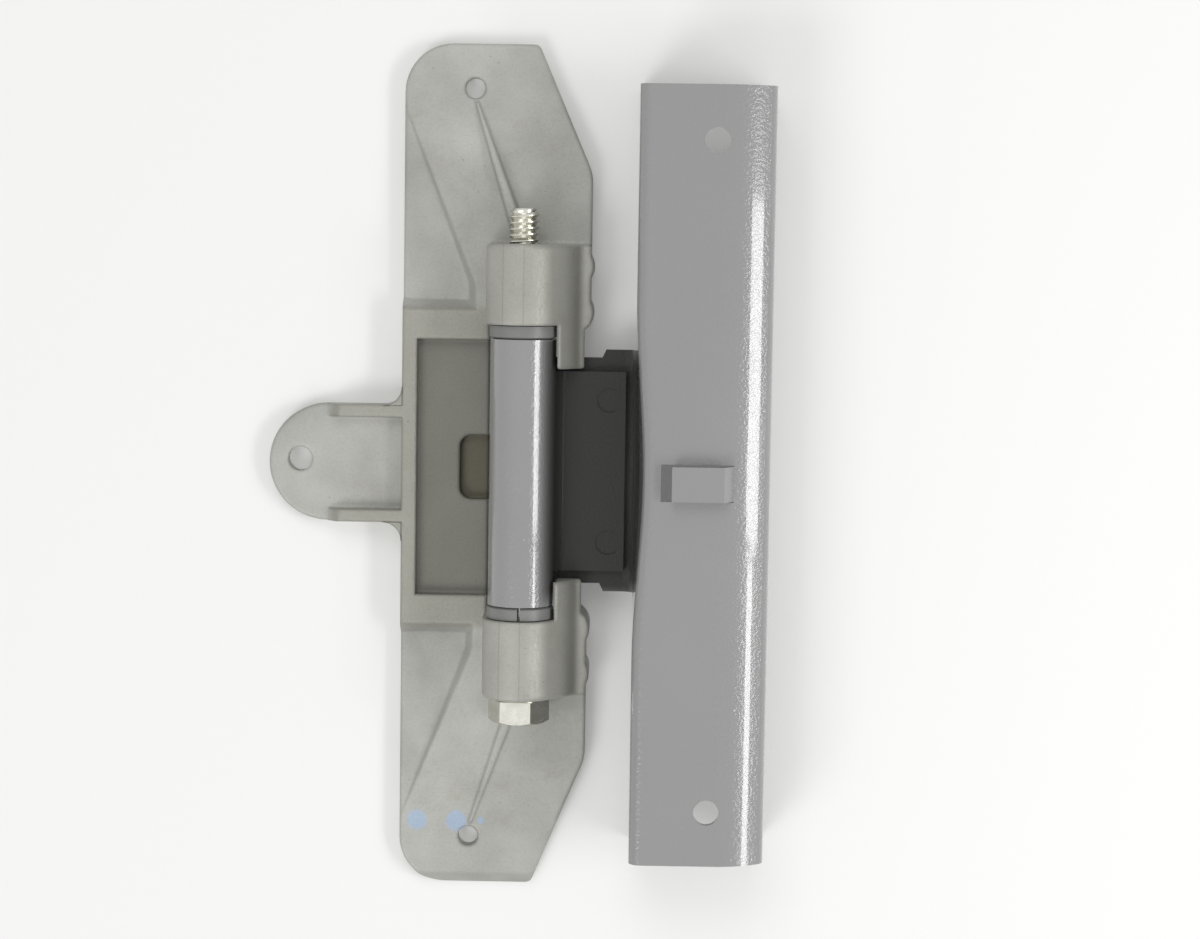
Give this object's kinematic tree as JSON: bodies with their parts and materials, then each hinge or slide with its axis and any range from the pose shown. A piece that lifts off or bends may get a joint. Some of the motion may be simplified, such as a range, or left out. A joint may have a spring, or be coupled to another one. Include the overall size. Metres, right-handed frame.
{
  "type": "dryer door hinge",
  "caption": "Cast cabinet bracket with screw holes and a locating ear, joined by a pivot bolt to a rolled and folded sheet-metal leaf whose channel screws to the door.",
  "frame": {"origin": "midway between the two cabinet screw holes, on the bracket's flat back face", "axes": "+X from the cabinet side to the door side, +Y along the pivot bolt towards its threaded end, +Z out of the cabinet face"},
  "size_m": [0.105, 0.1784, 0.029],
  "materials": {
    "cast_aluminium": "fine tumbled casting skin, satin",
    "zinc_steel": "bright zinc plating",
    "grey_paint": "gloss grey paint with slight orange peel",
    "grey_nylon": "moulded grey nylon"
  },
  "bodies": {
    "bracket": {"hinge_bracket": "cast_aluminium", "hinge_bolt": "zinc_steel"},
    "leaf": {"door_leaf": "grey_paint", "upper_bushing": "grey_nylon", "lower_bushing": "grey_nylon"}
  },
  "joints": [
    {"name": "leaf_swing", "type": "hinge", "parent": "bracket", "child": "leaf", "pos_m": [0.011, 0, 0.013], "axis": [0, 1, 0], "range_deg": [-3, 90]}
  ]
}
